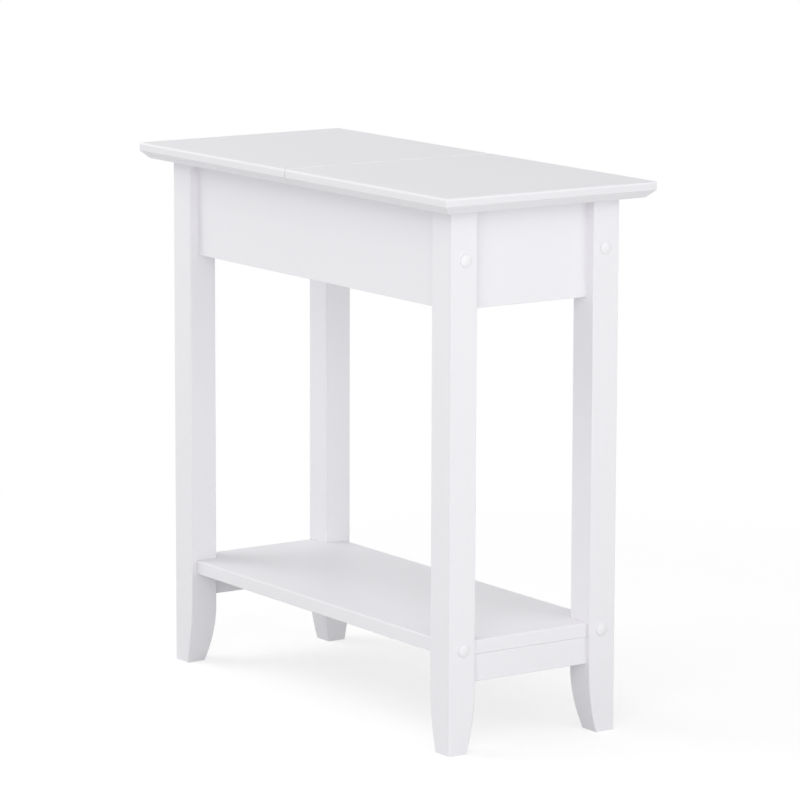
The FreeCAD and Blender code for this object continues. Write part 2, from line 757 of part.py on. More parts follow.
def make_hinge_leaf(name, end, side):
    """Make a hinge leaf: a drilled plate whose top edge carries its knuckles of the barrel."""
    middle = f"{side} * hinge_y"
    faces = (side_of(end, "leaf_gap / 2"), side_of(end, "leaf_back"))
    faces_x = faces if end > 0 else faces[::-1]
    plate_y = (f"{middle} - hinge_length / 2", f"{middle} + hinge_length / 2")
    pieces = [block(f"{name}_plate", faces_x, plate_y, ("leaf_bottom", "leaf_top"))]
    if end > 0:
        knuckles = [(f"{middle} - lid_knuckle_length / 2", "lid_knuckle_length")]
    else:
        knuckles = [
            (plate_y[0], "outer_knuckle_length"),
            (f"{middle} + outer_knuckle_start", "outer_knuckle_length"),
        ]
    for start, length in knuckles:
        web_y = (start, f"{start} + {length}")
        pieces.append(block(f"{name}_web", faces_x, web_y, ("leaf_top", "hinge_axis_z")))
        pieces.append(rod(f"{name}_knuckle", "knuckle_radius", length, "+y", "0", start, "hinge_axis_z"))
    pin_hole = "pin_radius + pin_clearance"
    screw_hole = "hinge_screw_radius + drill_gap"
    tools = [bore(pin_hole, "hinge_length + overrun", "+y", "0", plate_y[0], "hinge_axis_z")]
    inward = heading(end, "x")
    for step in SIDES:
        screw_y = f"{middle} + {step} * hinge_screw_spacing / 2"
        tools.append(bore(screw_hole, "leaf_back + overrun", inward, "0", screw_y, "hinge_screw_z"))
        sink = doc.addObject("Part::Cone", f"{name}_countersink")
        bind(
            sink,
            Radius1="hinge_screw_head_radius + drill_gap",
            Radius2=screw_hole,
            Height="hinge_screw_head_radius - hinge_screw_radius",
        )
        tools.append(place(sink, faces[0], screw_y, "hinge_screw_z", inward))
    keep(cut(fuse(f"{name}_blank", pieces), tools), name)


def make_hinges():
    """Make the two butt hinges, with their pins and countersunk screws."""
    screw = turned(
        "hinge_screw",
        [
            ("0", "0"),
            ("hinge_screw_head_radius", "0"),
            ("hinge_screw_radius", "hinge_screw_head_radius - hinge_screw_radius"),
            ("hinge_screw_radius", "hinge_screw_length - hinge_screw_radius"),
            ("0", "hinge_screw_length"),
        ],
    )
    screws = {-1: [], 1: []}
    for label, side in (("front_hinge", -1), ("rear_hinge", 1)):
        make_hinge_leaf(f"{label}_fixed_leaf", -1, side)
        make_hinge_leaf(f"{label}_lid_leaf", 1, side)
        start = f"{side} * hinge_y - hinge_length / 2"
        name = f"{label}_pin"
        keep(rod(name, "pin_radius", "hinge_length", "+y", "0", start, "hinge_axis_z"), name)
        for end in SIDES:
            for step in SIDES:
                screw_y = f"{side} * hinge_y + {step} * hinge_screw_spacing / 2"
                face = side_of(end, "leaf_gap / 2")
                screws[end].append((heading(end, "x"), face, screw_y, "hinge_screw_z"))
    copies("hinge_fixed_screws", screw, screws[-1])
    copies("hinge_lid_screws", screw, screws[1])


def make_leg_fixings():
    """Make the leg bolts with their barrel nuts and caps, at the aprons and at the shelf."""
    bolt = turned(
        "leg_bolt",
        [
            ("0", "-bolt_head_height + bolt_socket_depth"),
            ("bolt_socket_radius", "-bolt_head_height + bolt_socket_depth"),
            ("bolt_socket_radius", "-bolt_head_height"),
            ("bolt_head_radius", "-bolt_head_height"),
            ("bolt_head_radius", "0"),
            ("bolt_radius", "0"),
            ("bolt_radius", "bolt_length"),
            ("0", "bolt_length"),
        ],
    )
    half_nut = "-barrel_nut_length / 2"
    nut = cut(
        rod("barrel_nut_blank", "barrel_nut_radius", "barrel_nut_length", "+z", "0", "0", half_nut),
        [bore("bolt_hole", "2 * barrel_nut_radius + overrun", "+x", "-barrel_nut_radius", "0", "0")],
    )
    cap = turned(
        "bolt_cap",
        [
            ("0", "cap_rim + cap_dome", "Vertical"),
            ("cap_radius", "cap_rim"),
            ("cap_radius", "0"),
            ("cap_stem_radius", "0"),
            ("cap_stem_radius", "-cap_stem_length"),
            ("0", "-cap_stem_length"),
        ],
    )
    for label, nut_name, nut_axis, height in (
        ("upper", "apron_barrel_nuts", "+y", "upper_bolt_z"),
        ("lower", "shelf_barrel_nuts", "+z", "shelf_mid"),
    ):
        bolts = []
        nuts = []
        caps = []
        for end, side in CORNERS:
            bolt_y = side_of(side, "side_apron_mid")
            bolts.append((heading(-end, "x"), side_of(end, "bolt_seat"), bolt_y, height))
            nuts.append((nut_axis, side_of(end, "nut_x"), bolt_y, height))
            caps.append((heading(end, "x"), side_of(end, "leg_out_x"), bolt_y, height))
        copies(f"{label}_leg_bolts", bolt, bolts)
        copies(nut_name, nut, nuts)
        copies(f"{label}_bolt_caps", cap, caps)


def make_dowels():
    """Make the dowels that join the legs to the aprons and to the shelf rails."""
    dowel = doc.addObject("Part::Cylinder", "dowel")
    bind(dowel, Radius="dowel_radius", Height="dowel_length")
    side_places = []
    end_places = []
    rail_places = []
    for end, side in CORNERS:
        face_x = side_of(end, "leg_in_x")
        start_x = f"{face_x} - dowel_length / 2"
        start_y = f"{side_of(side, 'leg_in_y')} - dowel_length / 2"
        for step in SIDES:
            dowel_z = f"upper_bolt_z + {step} * side_apron_dowel_spacing / 2"
            side_places.append(("+x", start_x, side_of(side, "side_apron_mid"), dowel_z))
            dowel_z = f"upper_bolt_z + {step} * end_apron_dowel_spacing / 2"
            end_places.append(("+y", side_of(end, "end_apron_mid"), start_y, dowel_z))
        rail_places.append(("+y", side_of(end, "rail_mid_x"), start_y, "rail_mid_z"))
    copies("side_apron_dowels", dowel, side_places)
    copies("end_apron_dowels", dowel, end_places)
    copies("rail_dowels", dowel, rail_places)


def make_wood_screws():
    """Make the screws of the cleats and of the shelf rails."""
    screw = turned(
        "wood_screw",
        [
            ("0", "-screw_head_height", "Vertical"),
            ("screw_head_radius", "0"),
            ("screw_radius", "0"),
            ("screw_radius", "screw_length - screw_radius"),
            ("0", "screw_length"),
        ],
    )
    upward, sideways = cleat_screw_places()
    copies("cleat_top_screws", screw, upward)
    copies("cleat_apron_screws", screw, sideways)
    rails = []
    for end, side in CORNERS:
        screw_y = f"{side} * rail_screw_y"
        rails.append(("+z", side_of(end, "rail_mid_x"), screw_y, "rail_screw_seat"))
    copies("rail_screws", screw, rails)


for end, side in CORNERS:
    make_leg(end, side)
make_side_apron("front_apron", -1)
make_side_apron("rear_apron", 1)
make_end_apron("left_end_apron", -1)
make_end_apron("right_end_apron", 1)
make_shelf()
make_rail("left_shelf_rail", -1)
make_rail("right_shelf_rail", 1)
make_compartment()
make_cleats()
make_top_leaf("fixed_top", -1)
make_top_leaf("lift_lid", 1)
make_hinges()
make_leg_fixings()
make_dowels()
make_wood_screws()
doc.removeObject(gauge.Name)
doc.recompute()

for item in doc.Objects:
    if "Invalid" in item.State or "Error" in item.State:
        raise RuntimeError(f"{item.Label} failed: {item.State}")
for item in nodes:
    if item.Shape.isNull() or not item.Shape.isValid():
        raise RuntimeError(f"{item.Label} has no valid shape")
os.makedirs("parts", exist_ok=True)
for item in nodes:
    item.Shape.exportStep(os.path.join("parts", f"{item.Label}.step"))
    print(f"{item.Label}: {len(item.Shape.Solids)} solids, {item.Shape.Volume:.1f} mm3")
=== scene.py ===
"""Looks of a lift-top end table in satin white paint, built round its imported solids.

Everything is in metres: x runs along the length, y from front to rear and z up from the floor. The
table stands on a plain pale floor in soft studio light.
"""

import logging
import math
from dataclasses import dataclass, field
from enum import Enum
from typing import Any

import bmesh
import bpy
from mathutils import Matrix, Vector


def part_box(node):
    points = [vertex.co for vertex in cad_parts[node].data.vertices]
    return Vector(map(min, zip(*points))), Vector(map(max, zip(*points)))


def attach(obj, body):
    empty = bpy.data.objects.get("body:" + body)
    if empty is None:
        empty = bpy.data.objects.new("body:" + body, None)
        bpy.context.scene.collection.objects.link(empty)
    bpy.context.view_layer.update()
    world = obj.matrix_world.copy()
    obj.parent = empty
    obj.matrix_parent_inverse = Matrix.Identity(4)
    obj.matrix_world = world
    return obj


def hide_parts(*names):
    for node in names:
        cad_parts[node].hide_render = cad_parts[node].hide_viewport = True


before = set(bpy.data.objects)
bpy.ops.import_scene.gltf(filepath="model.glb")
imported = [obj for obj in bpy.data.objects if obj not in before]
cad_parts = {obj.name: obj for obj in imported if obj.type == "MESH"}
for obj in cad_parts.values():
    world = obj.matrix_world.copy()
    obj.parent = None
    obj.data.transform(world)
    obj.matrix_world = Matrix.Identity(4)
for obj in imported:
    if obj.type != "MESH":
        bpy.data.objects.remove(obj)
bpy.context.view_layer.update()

WELD = 1e-7
SHARP_ANGLE = math.radians(32)
SORT_DIGITS = 6
NOISE_MIDDLE = 0.5

Colour = tuple[float, float, float]
Profile = list[tuple[float, float]]

log = logging.getLogger("end_table")


class Body(Enum):
    """The two bodies of the table."""

    TABLE = "table"
    LID = "lid"


class Slot(Enum):
    """Material slot names that new pieces carry; their finish is passed in when they are built."""

    BARE_WOOD = "bare_wood"
    ZINC = "zinc_steel"
    HINGE = "hinge_steel"
    CAP = "white_cap"


class Axis(Enum):
    """An axis of the frame, by its place in a vector."""

    X = 0
    Y = 1
    Z = 2


class Aim(Enum):
    """Where a fixing points, from its head to its far end."""

    OUTWARD = "away from the middle of the table"
    INWARD = "towards the middle of the table"
    UP = "up from the floor"


class Value:
    """A socket whose sums in Python add Math nodes to its graph."""

    def __init__(self, graph: "Graph", socket: bpy.types.NodeSocket) -> None:
        """Wrap an output socket of a graph."""
        self.graph = graph
        self.socket = socket

    def _math(self, operation: str, first: "Value | float", second: "Value | float") -> "Value":
        """Add a Math node.

        Args:
            operation: The Math node's operation.
            first: Its first operand.
            second: Its second operand.

        Returns:
            The node's result.
        """
        return self.graph.add("ShaderNodeMath", {"operation": operation}, {0: first, 1: second})

    def __add__(self, other: "Value | float") -> "Value":
        """Add a number or another value."""
        return self._math("ADD", self, other)

    def __radd__(self, other: float) -> "Value":
        """Add this value to a number."""
        return self._math("ADD", other, self)

    def __sub__(self, other: "Value | float") -> "Value":
        """Take away a number or another value."""
        return self._math("SUBTRACT", self, other)

    def __rsub__(self, other: float) -> "Value":
        """Take this value away from a number."""
        return self._math("SUBTRACT", other, self)

    def __mul__(self, other: "Value | float") -> "Value":
        """Multiply by a number or another value."""
        return self._math("MULTIPLY", self, other)

    def __rmul__(self, other: float) -> "Value":
        """Multiply a number by this value."""
        return self._math("MULTIPLY", other, self)

    def least(self, other: "Value | float") -> "Value":
        """Take the smaller of two."""
        return self._math("MINIMUM", self, other)

    def most(self, other: "Value | float") -> "Value":
        """Take the larger of two."""
        return self._math("MAXIMUM", self, other)

    def ease(self, low: float, high: float) -> "Value":
        """Rise smoothly from 0 to 1 between two limits.

        Args:
            low: Where the rise starts.
            high: Where it ends.

        Returns:
            The eased value.
        """
        settings = {"interpolation_type": "SMOOTHSTEP"}
        inputs = {"Value": self, "From Min": low, "From Max": high}
        return self.graph.add("ShaderNodeMapRange", settings, inputs)

    def swing(self, width: float) -> "Value":
        """Turn a value from 0 to 1 into a swing of some width about 0."""
        return (self - NOISE_MIDDLE) * width


class Graph:
    """The shader nodes of one material or world."""

    factor_socket = 0
    first_socket = 6
    second_socket = 7
    colour_output = 2

    def __init__(self, tree: bpy.types.NodeTree) -> None:
        """Start with an empty tree."""
        self.tree = tree
        tree.nodes.clear()

    def add(
        self,
        kind: str,
        settings: dict[str, Any] | None = None,
        inputs: dict[str | int, Any] | None = None,
        output: str | int = 0,
    ) -> Value:
        """Add a node.

        Args:
            kind: The node's type.
            settings: Its settings, set first.
            inputs: Values or links for its sockets, by name or place.
            output: The socket that it is read from.

        Returns:
            That socket, wrapped.
        """
        node = self.tree.nodes.new(kind)
        for name, setting in (settings or {}).items():
            setattr(node, name, setting)
        for name, given in (inputs or {}).items():
            if isinstance(given, Value):
                self.tree.links.new(given.socket, node.inputs[name])
            else:
                node.inputs[name].default_value = given
        return Value(self, node.outputs[output] if node.outputs else None)

    def place(self) -> Value:
        """Read the place on the piece, in metres of the shared frame."""
        return self.add("ShaderNodeTexCoord", output="Object")

    def stretched(self, place: Value, along: Axis, factor: float) -> Value:
        """Stretch a pattern along one axis.

        Args:
            place: The place to stretch.
            along: The axis that the pattern runs along.
            factor: The share of its scale that it keeps along that axis.

        Returns:
            The place to read the pattern at.
        """
        scale = [1.0, 1.0, 1.0]
        scale[along.value] = factor
        return self.add("ShaderNodeMapping", inputs={"Vector": place, "Scale": scale})

    def noise(self, place: Value, size: float, detail: float = 2.0, roughness: float = 0.5) -> Value:
        """Add soft noise from 0 to 1.

        Args:
            place: Where it is read.
            size: The width of its spots.
            detail: How many finer layers it has.
            roughness: How strong those are.

        Returns:
            The noise.
        """
        inputs = {"Vector": place, "Scale": 1 / size, "Detail": detail, "Roughness": roughness}
        return self.add("ShaderNodeTexNoise", inputs=inputs)

    def blend(self, share: Value | float, first: Value | Colour, second: Value | Colour) -> Value:
        """Mix two colours.

        Args:
            share: How much of the second there is.
            first: One colour.
            second: The other.

        Returns:
            The mixed colour.
        """
        ends = [given if isinstance(given, Value) else (*given, 1.0) for given in (first, second)]
        inputs = {self.factor_socket: share, self.first_socket: ends[0], self.second_socket: ends[1]}
        return self.add("ShaderNodeMix", {"data_type": "RGBA"}, inputs, self.colour_output)

    def shade(self, colour: Value | Colour, factor: Value) -> Value:
        """Lighten or darken a colour by a factor near 1."""
        given = colour if isinstance(colour, Value) else (*colour, 1.0)
        grey = self.add("ShaderNodeCombineColor", inputs={"Red": factor, "Green": factor, "Blue": factor})
        settings = {"data_type": "RGBA", "blend_type": "MULTIPLY"}
        inputs = {self.factor_socket: 1.0, self.first_socket: given, self.second_socket: grey}
        return self.add("ShaderNodeMix", settings, inputs, self.colour_output)

    def bump(self, height: Value, depth: float) -> Value:
        """Turn a height from 0 to 1 into a bumped normal of that depth."""
        return self.add("ShaderNodeBump", inputs={"Height": height, "Distance": depth, "Strength": 1.0})

    def vector(self, operation: str, first: Any, second: Any = (0.0, 0.0, 0.0)) -> Value:
        """Add a Vector Math node.

        Args:
            operation: The node's operation.
            first: Its first vector.
            second: Its second vector, where the operation takes one.

        Returns:
            The node's vector.
        """
        return self.add("ShaderNodeVectorMath", {"operation": operation}, {0: first, 1: second})

    def depths(self, place: Value, node: str) -> list[Value]:
        """Measure how deep a place lies under the outer faces of a board.

        Args:
            place: The place on the board.
            node: The board's CAD node.

        Returns:
            The depth under the nearer face across x, y and z.
        """
        low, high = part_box(node)
        offset = self.vector("SUBTRACT", place, (low + high) / 2)
        depth = self.vector("SUBTRACT", (high - low) / 2, self.vector("ABSOLUTE", offset))
        return [self.along(depth, axis) for axis in Axis]

    def along(self, vector: Value, axis: Axis) -> Value:
        """Read one part of a vector."""
        return self.add("ShaderNodeSeparateXYZ", inputs={0: vector}, output=axis.value)

    def finish(self, shader: Value) -> None:
        """Lead a shader to the surface."""
        self.add("ShaderNodeOutputMaterial", inputs={"Surface": shader})


def new_material(name: str) -> tuple[bpy.types.Material, Graph]:
    """Make a material with an empty graph.

    Args:
        name: The finish and the piece that wears it.

    Returns:
        The material and its graph.
    """
    material = bpy.data.materials.new(name)
    material.use_nodes = True
    return material, Graph(material.node_tree)


@dataclass(frozen=True)
class SatinPaint:
    """Satin white paint, sprayed on board and rubbed glossier along the edges, where a painted highlight
    also lightens its colour.
    """

    colour: Colour = (0.842, 0.834, 0.862)
    cloud_size: float = 0.16
    cloud_swing: float = 0.014
    fibre_size: float = 0.0035
    fibre_stretch: float = 0.03
    fibre_detail: float = 3.0
    fibre_swing: float = 0.010
    edge_width: float = 0.0004
    edge_fade: float = 0.0022
    # painted highlight: the share by which the colour is lightened along the edges
    painted_edge_highlight: float = 0.015
    edge_polish: float = 0.06
    roughness: float = 0.46
    roughness_swing: float = 0.10
    gloss: float = 0.38
    peel_size: float = 0.0022
    peel_share: float = 0.7
    depth: float = 0.00007

    def rim(self, depths: list[Value]) -> Value:
        """Find the edges round the upper and lower faces of a board.

        Args:
            depths: The depth under the nearer face across x, y and z.

        Returns:
            1 on those edges, 0 away from them.
        """
        x, y, z = depths
        return 1 - x.least(y).most(z).ease(self.edge_width, self.edge_fade)

    def lift(self, place: Value, depths: list[Value]) -> Value:
        """Find the painted highlight: how much lighter the colour is made along the edges.

        Args:
            place: The place on the board; not used here.
            depths: The depth under the nearer face across x, y and z.

        Returns:
            The share to add.
        """
        return self.rim(depths) * self.painted_edge_highlight

    def make(self, node: str, grain: Axis) -> bpy.types.Material:
        """Make the paint of one board.

        Args:
            node: The board's CAD node.
            grain: The axis that its fibres run along.

        Returns:
            The material.
        """
        material, graph = new_material(f"satin_paint.{node}")
        place = graph.place()
        cloud = graph.noise(place, self.cloud_size)
        drawn = graph.stretched(place, grain, self.fibre_stretch)
        fibre = graph.noise(drawn, self.fibre_size, self.fibre_detail)
        peel = graph.noise(place, self.peel_size)
        depths = graph.depths(place, node)
        tone = 1 + cloud.swing(self.cloud_swing) + fibre.swing(self.fibre_swing)
        # the paint's random tone, plus the painted highlight along the edges
        tone_and_painted_highlight = tone + self.lift(place, depths)
        rough = self.roughness + cloud.swing(self.roughness_swing) - self.rim(depths) * self.edge_polish
        height = peel * self.peel_share + fibre * (1 - self.peel_share)
        shader = graph.add(
            "ShaderNodeBsdfPrincipled",
            inputs={
                "Base Color": graph.shade(self.colour, tone_and_painted_highlight),
                "Roughness": rough,
                "Normal": graph.bump(height, self.depth),
                "Specular IOR Level": self.gloss,
            },
        )
        graph.finish(shader)
        return material


@dataclass(frozen=True)
class TopPaint(SatinPaint):
    """The paint of the two leaves: painted shade darkens their sides, and a painted highlight lightens the
    seam between them.
    """

    edge_width: float = 0.0018
    edge_fade: float = 0.0032
    # painted highlight along the leaves' edges, stronger than on the other boards
    painted_edge_highlight: float = 0.03
    side_depth: float = 0.0005
    # painted shade: the share by which the colour of the leaves' sides is darkened
    painted_side_shade: float = 0.055
    seam_half_width: float = 0.0031
    seam_fade: float = 0.0003
    seam_bottom: float = 0.6055
    # painted highlight: the colour in the seam is made this much lighter
    painted_seam_highlight: float = 0.12

    def lift(self, place: Value, depths: list[Value]) -> Value:
        """Find the painted highlight on the edges and in the seam, and the painted shade on the sides.

        Args:
            place: The place on the leaf.
            depths: The depth under the nearer face across x, y and z.

        Returns:
            The share to add.
        """
        edge = self.rim(depths)
        inside = depths[0].least(depths[1]).ease(0.0, self.side_depth)
        along = place.graph.along(place, Axis.X)
        away = along.most(along * -1)
        above = place.graph.along(place, Axis.Z).ease(self.seam_bottom, self.seam_bottom + self.seam_fade)
        seam = above * inside * (1 - away.ease(self.seam_half_width, self.seam_half_width + self.seam_fade))
        # painted highlight on the edges, and painted shade on the sides away from the edges
        plain = edge * self.painted_edge_highlight - (1 - inside) * (1 - edge) * self.painted_side_shade
        # the seam takes the painted highlight in place of these
        return plain + seam * (self.painted_seam_highlight - plain)


@dataclass(frozen=True)
class FineWhite:
    """A smooth white finish with a fine texture, moulded or coated."""

    name: str
    texture_size: float
    depth: float
    roughness: float
    colour: Colour = (0.850, 0.843, 0.868)
    roughness_swing: float = 0.08
    swirl_size: float = 0.004
    swirl_detail: float = 3.0
    swirl_swing: float = 0.02

    def make(self) -> bpy.types.Material:
        """Make the material."""
        material, graph = new_material(self.name)
        place = graph.place()
        swirl = graph.noise(place, self.swirl_size, self.swirl_detail)
        texture = graph.noise(place, self.texture_size)
        shader = graph.add(
            "ShaderNodeBsdfPrincipled",
            inputs={
                "Base Color": graph.shade(self.colour, 1 + swirl.swing(self.swirl_swing)),
                "Roughness": self.roughness + swirl.swing(self.roughness_swing),
                "Normal": graph.bump(texture, self.depth),
            },
        )
        graph.finish(shader)
        return material


@dataclass(frozen=True)
class BareWood:
    """Bare sanded hardwood with fine pores."""

    pale: Colour = (0.66, 0.47, 0.29)
    dark: Colour = (0.44, 0.28, 0.15)
    band_size: float = 0.009
    band_detail: float = 4.0
    band_roughness: float = 0.6
    band_start: float = 0.3
    band_end: float = 0.7
    pore_size: float = 0.0011
    pore_detail: float = 1.0
    stretch: float = 0.05
    pore_start: float = 0.62
    pore_end: float = 0.74
    pore_shade: float = 0.28
    roughness: float = 0.62
    depth: float = 0.00012

    def make(self, name: str, grain: Axis) -> bpy.types.Material:
        """Make the wood of pieces that run along one axis.

        Args:
            name: The pieces that wear it.
            grain: The axis that their grain runs along.

        Returns:
            The material.
        """
        material, graph = new_material(f"bare_wood.{name}")
        along = graph.stretched(graph.place(), grain, self.stretch)
        band = graph.noise(along, self.band_size, self.band_detail, self.band_roughness)
        pore = graph.noise(along, self.pore_size, self.pore_detail).ease(self.pore_start, self.pore_end)
        colour = graph.blend(band.ease(self.band_start, self.band_end), self.pale, self.dark)
        shader = graph.add(
            "ShaderNodeBsdfPrincipled",
            inputs={
                "Base Color": graph.shade(colour, 1 - pore * self.pore_shade),
                "Roughness": self.roughness + pore * self.pore_shade,
                "Normal": graph.bump(1 - pore, self.depth),
            },
        )
        graph.finish(shader)
        return material


@dataclass(frozen=True)
class PlatedSteel:
    """Plated steel with fine polishing lines and a dull bloom."""

    name: str
    bright: Colour
    dull: Colour
    roughness: float
    line_size: float = 0.0004
    line_stretch: float = 0.06
    bloom_size: float = 0.005
    bloom_detail: float = 4.0
    bloom_roughness: float = 0.6
    bloom_start: float = 0.35
    bloom_end: float = 0.65
    roughness_swing: float = 0.16
    depth: float = 0.000006

    def make(self, lines: Axis) -> bpy.types.Material:
        """Make the plating.

        Args:
            lines: The axis that the polishing lines run along.

        Returns:
            The material.
        """
        material, graph = new_material(self.name)
        place = graph.place()
        bloom = graph.noise(place, self.bloom_size, self.bloom_detail, self.bloom_roughness)
        line = graph.noise(graph.stretched(place, lines, self.line_stretch), self.line_size)
        rough = self.roughness + bloom.swing(self.roughness_swing) + line.swing(self.roughness_swing)
        colour = graph.blend(bloom.ease(self.bloom_start, self.bloom_end), self.bright, self.dull)
        shader = graph.add(
            "ShaderNodeBsdfPrincipled",
            inputs={
                "Base Color": colour,
                "Metallic": 1.0,
                "Roughness": rough,
                "Normal": graph.bump(line, self.depth),
            },
        )
        graph.finish(shader)
        return material


def wear(node: str, material: bpy.types.Material) -> None:
    """Give a CAD node its finish.

    Args:
        node: The CAD node.
        material: Its finish.
    """
    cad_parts[node].material_slots[0].material = material
    log.info("dressed %s in %s", node, material.name)


@dataclass(frozen=True)
class Seat:
    """Where one solid of a CAD node lies: from its head, along its axis, to its far end."""

    head: Vector
    aim: Vector
    length: float
    width: float

    def matrix(self, roll: float) -> Matrix:
        """Carry a piece that points up from the origin to this seat.

        Args:
            roll: How far it is turned about its own axis.

        Returns:
            The move.
        """
        side = Vector((0.0, 1.0, 0.0)) if self.aim.x else Vector((1.0, 0.0, 0.0))
        turn = Matrix((side, self.aim.cross(side), self.aim)).transposed().to_4x4()
        return Matrix.Translation(self.head) @ turn @ Matrix.Rotation(roll, 4, "Z")


def solid_boxes(node: str) -> list[tuple[Vector, Vector]]:
    """Find the box of each separate solid of a CAD node.

    Args:
        node: The CAD node.

    Returns:
        The lowest and highest corner of each solid, in a steady order.
    """
    work = bmesh.new()
    work.from_mesh(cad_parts[node].data)
    bmesh.ops.remove_doubles(work, verts=work.verts, dist=WELD)
    waiting = set(work.verts)
    boxes = []
    while waiting:
        edge_of_search = [waiting.pop()]
        found = []
        while edge_of_search:
            vertex = edge_of_search.pop()
            found.append(vertex.co.copy())
            beside = {edge.other_vert(vertex) for edge in vertex.link_edges} & waiting
            waiting -= beside
            edge_of_search.extend(beside)
        sides = list(zip(*found))
        boxes.append((Vector([min(side) for side in sides]), Vector([max(side) for side in sides])))
    work.free()
    return sorted(boxes, key=lambda box: tuple(round(number, SORT_DIGITS) for number in box[0]))


def find_seats(node: str, aim: Aim, axis: Axis | None = None) -> list[Seat]:
    """Find the seats of the solids of a CAD node.

    Args:
        node: The CAD node.
        aim: Where its solids point.
        axis: The axis that they lie along, or none for the longest side of each.

    Returns:
        A seat for each solid.
    """
    seats = []
    for low, high in solid_boxes(node):
        size = high - low
        centre = (low + high) / 2
        index = axis.value if axis else max(range(len(size)), key=lambda side: size[side])
        sign = math.copysign(1.0, centre[index]) if aim is not Aim.UP else 1.0
        direction = Vector()
        direction[index] = -sign if aim is Aim.INWARD else sign
        width = size[(index + 1) % len(size)]
        seats.append(Seat(centre - direction * size[index] / 2, direction, size[index], width))
    return seats


def turn(profile: Profile, segments: int) -> bpy.types.Mesh:
    """Turn an outline about the upright axis.

    Args:
        profile: Pairs of radius and height, from one end of the axis to the other.
        segments: How many steps go round.

    Returns:
        The closed mesh.
    """
    work = bmesh.new()
    points = [work.verts.new((radius, 0.0, height)) for radius, height in profile]
    lines = [work.edges.new(pair) for pair in zip(points, points[1:])]
    bmesh.ops.spin(
        work,
        geom=points + lines,
        cent=(0.0, 0.0, 0.0),
        axis=(0.0, 0.0, 1.0),
        angle=math.tau,
        steps=segments,
        use_merge=True,
    )
    bmesh.ops.remove_doubles(work, verts=work.verts, dist=WELD)
    return into_mesh(work)


def into_mesh(work: bmesh.types.BMesh) -> bpy.types.Mesh:
    """Close the work on a mesh, with its faces pointing outwards.

    Args:
        work: The shaped mesh, which is freed.

    Returns:
        The mesh.
    """
    bmesh.ops.recalc_face_normals(work, faces=work.faces)
    mesh = bpy.data.meshes.new("blank")
    work.to_mesh(mesh)
    work.free()
    return mesh


def carve(blank: bpy.types.Mesh, cutter: bpy.types.Mesh) -> bpy.types.Mesh:
    """Cut one mesh out of another.

    Args:
        blank: The mesh that is cut.
        cutter: The shape that is taken away.

    Returns:
        The cut mesh, without the needless points that a cut leaves.
    """
    work = bpy.data.objects.new("carve_work", blank)
    tool = bpy.data.objects.new("carve_tool", cutter)
    for item in (work, tool):
        bpy.context.scene.collection.objects.link(item)
    modifier = work.modifiers.new("cut", "BOOLEAN")
    modifier.operation = "DIFFERENCE"
    modifier.solver = "EXACT"
    modifier.object = tool
    cut = bmesh.new()
    cut.from_object(work, bpy.context.evaluated_depsgraph_get())
    bmesh.ops.remove_doubles(cut, verts=cut.verts, dist=WELD)
    needless = [vertex for vertex in cut.verts if len(vertex.link_edges) == 2]
    bmesh.ops.dissolve_verts(cut, verts=needless)
    bpy.data.objects.remove(work)
    bpy.data.objects.remove(tool)
    return into_mesh(cut)


def prism(sides: int, radius: float, start: float, end: float) -> bpy.types.Mesh:
    """Make an upright prism.

    Args:
        sides: How many sides it has.
        radius: The radius of its corners.
        start: Where it starts, in height.
        end: Where it ends.

    Returns:
        The mesh.
    """
    work = bmesh.new()
    bmesh.ops.create_cone(
        work,
        cap_ends=True,
        segments=sides,
        radius1=radius,
        radius2=radius,
        depth=end - start,
        matrix=Matrix.Translation((0.0, 0.0, (start + end) / 2)),
    )
    return into_mesh(work)


def bar(length: float, width: float, start: float, end: float, tip_share: float = 1.0) -> bpy.types.Mesh:
    """Make an upright bar, which may taper in its length towards its end.

    Args:
        length: Its length across.
        width: Its width across.
        start: Where it starts, in height.
        end: Where it ends.
        tip_share: The share of its length that is left at its end.

    Returns:
        The mesh.
    """
    work = bmesh.new()
    bmesh.ops.create_cube(work, size=1.0)
    bmesh.ops.scale(work, vec=(length, width, end - start), verts=work.verts)
    bmesh.ops.translate(work, vec=(0.0, 0.0, (start + end) / 2), verts=work.verts)
    tip = [vertex for vertex in work.verts if vertex.co.z > (start + end) / 2]
    bmesh.ops.scale(work, vec=(tip_share, 1.0, 1.0), verts=tip)
    return into_mesh(work)


def cross_recess(blank: bpy.types.Mesh, reach: float, arm: float, depth: float) -> bpy.types.Mesh:
    """Cut the cross recess of a screw's head, whose top is at the origin.

    Args:
        blank: The turned screw.
        reach: How far the arms reach from the middle.
        arm: The width of an arm.
        depth: How deep the recess goes.

    Returns:
        The screw.
    """
    for quarter in range(2):
        cutter = bar(2 * reach, arm, -depth, depth, tip_share=arm / reach)
        cutter.transform(Matrix.Rotation(quarter * math.pi / 2, 4, "Z"))
        blank = carve(blank, cutter)
    return blank


def dome(radius: float, height: float, steps: int) -> Profile:
    """Draw the arc of a shallow dome, from its top at height 0 to its rim.

    Args:
        radius: The rim's radius.
        height: How far the rim lies from the top.
        steps: How many steps the arc has.

    Returns:
        Pairs of radius and height.
    """
    ball = (radius**2 + height**2) / (2 * height)
    reach = math.asin(radius / ball)
    angles = [reach * step / steps for step in range(steps + 1)]
    return [(ball * math.sin(angle), ball * (1 - math.cos(angle))) for angle in angles]


def corner(radius: float, height: float, size: float, steps: int = 4) -> Profile:
    """Draw the rounded outer corner of a turned head.

    Args:
        radius: The radius of the corner's centre.
        height: The height of its centre.
        size: The radius of the rounding.
        steps: How many steps it has.

    Returns:
        Pairs of radius and height, from the top of the head to its side.
    """
    angles = [math.pi / 2 * (1 - step / steps) for step in range(steps + 1)]
    return [(radius + size * math.cos(angle), height - size * math.sin(angle)) for angle in angles]


